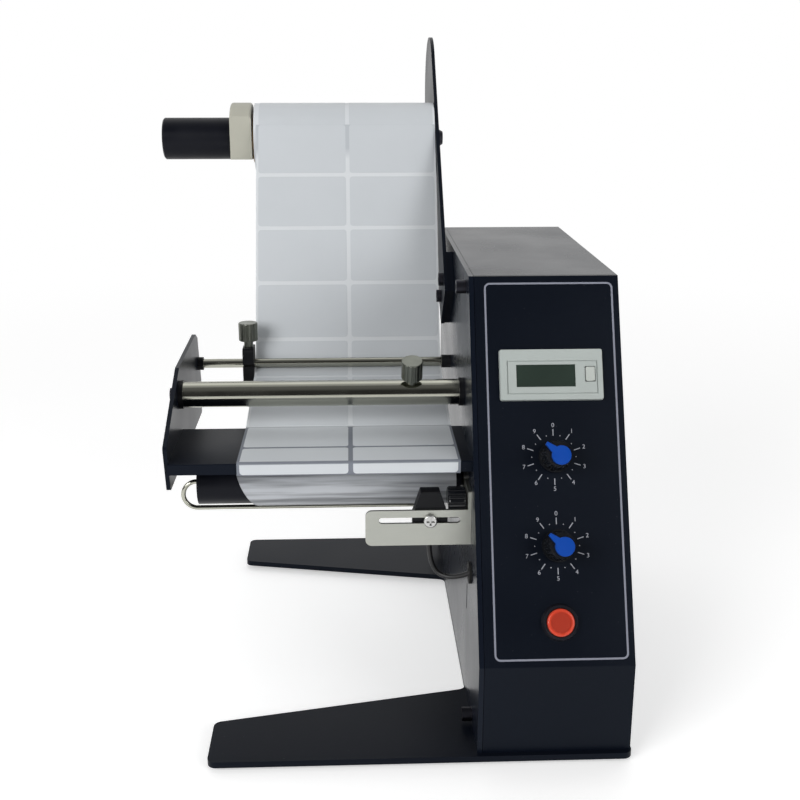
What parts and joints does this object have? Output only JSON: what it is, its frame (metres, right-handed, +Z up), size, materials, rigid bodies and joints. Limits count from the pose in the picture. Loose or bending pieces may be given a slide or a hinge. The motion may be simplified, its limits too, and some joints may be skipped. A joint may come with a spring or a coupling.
{
  "type": "label dispenser",
  "caption": "Motor-driven tabletop label dispenser: roll spindle on an arm, dispensing table with guide bar, liner take-up, sliding label sensor and a sloping control panel.",
  "frame": {"origin": "on the floor under the middle of the whole machine's box", "axes": "+Z up, -Y towards the user and the control panel's face, -X along the label spindle to its free end"},
  "size_m": [0.2348, 0.3255, 0.3195],
  "materials": {
    "housing_coat": "gloss powder coat, near black with a navy tint",
    "frame_coat": "black powder coat",
    "bright_steel": "polished and plated",
    "bracket_steel": "satin nickel plate",
    "zinc_steel": "zinc plate",
    "black_steel": "black oxide",
    "alloy": "satin",
    "brass_turned": "turned",
    "spindle_black": "satin black anodised",
    "bezel_grey": "fine matt",
    "window_lcd": "clear over a grey-green display",
    "key_white": "satin",
    "knob_black": "satin moulded",
    "cap_blue": "gloss moulded",
    "button_red": "translucent gloss",
    "ring_plastic": "gloss moulded",
    "socket_black": "moulded",
    "rubber_black": "matt",
    "label_paper": "white labels on glassine liner",
    "liner_paper": "glassine liner",
    "core_card": "wound board",
    "clip_ivory": "satin moulded",
    "board_green": "solder mask",
    "iron_core": "varnished laminations"
  },
  "bodies": {
    "frame": {"base_plate": "frame_coat", "rubber_feet": "rubber_black", "inner_side_plate": "housing_coat", "housing_cover": "housing_coat", "front_panel": "housing_coat", "cover_screws": "black_steel", "wall_screws": "black_steel", "counter_body": "bezel_grey", "counter_window": "window_lcd", "length_pot": "alloy", "speed_pot": "alloy", "switch_body": "ring_plastic", "power_inlet": "socket_black", "fuse_holder": "socket_black", "board_standoffs": "brass_turned", "control_board": "board_green", "transformer": "iron_core", "motor_pillars": "brass_turned", "gear_motor": "alloy", "take_up_bearing": "bright_steel", "end_plate": "frame_coat", "guide_bar": "bright_steel", "rear_rod": "bright_steel", "bar_collars": "black_steel", "rod_bushes": "black_steel", "rod_screws": "black_steel", "table_plate": "frame_coat", "spindle_arm": "frame_coat", "arm_spacer": "frame_coat", "arm_screws": "black_steel", "spindle_tube": "spindle_black", "spindle_end_cap": "socket_black", "spindle_bolt": "bright_steel", "label_web": "label_paper", "sensor_bracket": "bracket_steel", "cable_grommet": "rubber_black", "sensor_cable": "rubber_black"},
    "counter_key": {"counter_reset_button": "key_white"},
    "power_key": {"switch_button": "button_red"},
    "length_dial": {"length_knob": "knob_black", "length_knob_cap": "cap_blue"},
    "speed_dial": {"speed_knob": "knob_black", "speed_knob_cap": "cap_blue"},
    "take_up": {"take_up_shaft": "spindle_black", "drive_coupling": "alloy", "motor_output_shaft": "zinc_steel", "waste_liner_roll": "liner_paper", "hairpin_clip": "bright_steel"},
    "roll": {"roll_core": "core_card", "label_roll": "label_paper"},
    "roll_stop": {"spindle_clip": "clip_ivory"},
    "edge_guide": {"paper_guide": "socket_black"},
    "edge_guide_screw": {"guide_thumb_screw": "black_steel"},
    "bar_screw": {"bar_thumb_screw": "black_steel"},
    "sensor": {"sensor_block": "socket_black"},
    "sensor_clamp": {"sensor_screw": "zinc_steel"},
    "bracket_clamp": {"bracket_knob": "knob_black"}
  },
  "joints": [
    {"name": "counter_key_press", "type": "slide", "parent": "frame", "child": "counter_key", "axis": [0, 0.9047, -0.426], "range_m": [0, 0.0008], "stiffness_N_per_m": 400, "springref_m": -0.001},
    {"name": "power_key_press", "type": "slide", "parent": "frame", "child": "power_key", "axis": [0, 0.9047, -0.426], "range_m": [0, 0.002], "stiffness_N_per_m": 400, "springref_m": -0.002},
    {"name": "length_dial_turn", "type": "hinge", "parent": "frame", "child": "length_dial", "pos_m": [0.0833, -0.12005, 0.13321], "axis": [0, -0.9047, 0.426], "range_deg": [-200, 100]},
    {"name": "speed_dial_turn", "type": "hinge", "parent": "frame", "child": "speed_dial", "pos_m": [0.0833, -0.13726, 0.09666], "axis": [0, -0.9047, 0.426], "range_deg": [-200, 100]},
    {"name": "take_up_spin", "type": "hinge", "parent": "frame", "child": "take_up", "pos_m": [-0.0136, -0.08405, 0.11], "axis": [1, 0, 0], "continuous": true},
    {"name": "roll_spin", "type": "hinge", "parent": "frame", "child": "roll", "pos_m": [-0.0136, 0.08595, 0.2618], "axis": [1, 0, 0], "continuous": true},
    {"name": "roll_stop_slide", "type": "slide", "parent": "frame", "child": "roll_stop", "axis": [-1, 0, 0], "range_m": [0, 0.054]},
    {"name": "edge_guide_slide", "type": "slide", "parent": "frame", "child": "edge_guide", "axis": [-1, 0, 0], "range_m": [0, 0.0215]},
    {"name": "edge_guide_screw_turn", "type": "hinge", "parent": "edge_guide", "child": "edge_guide_screw", "pos_m": [-0.06525, 0.00495, 0.162], "axis": [0, 0, 1], "range_deg": [0, 360]},
    {"name": "bar_screw_turn", "type": "hinge", "parent": "frame", "child": "bar_screw", "pos_m": [0.0208, -0.06705, 0.1492], "axis": [0, -0.342, 0.9397], "range_deg": [0, 360]},
    {"name": "sensor_slide", "type": "slide", "parent": "frame", "child": "sensor", "axis": [-1, 0, 0], "range_m": [0, 0.022]},
    {"name": "sensor_clamp_turn", "type": "hinge", "parent": "sensor", "child": "sensor_clamp", "pos_m": [0.0273, -0.11505, 0.1009], "axis": [0, -1, 0], "range_deg": [0, 360]},
    {"name": "bracket_clamp_turn", "type": "hinge", "parent": "frame", "child": "bracket_clamp", "pos_m": [0.0404, -0.10555, 0.106], "axis": [-1, 0, 0], "range_deg": [0, 360]}
  ],
  "couplings": [
    {"joint": "roll_spin", "follows": "take_up_spin", "ratio": -0.6131}
  ]
}
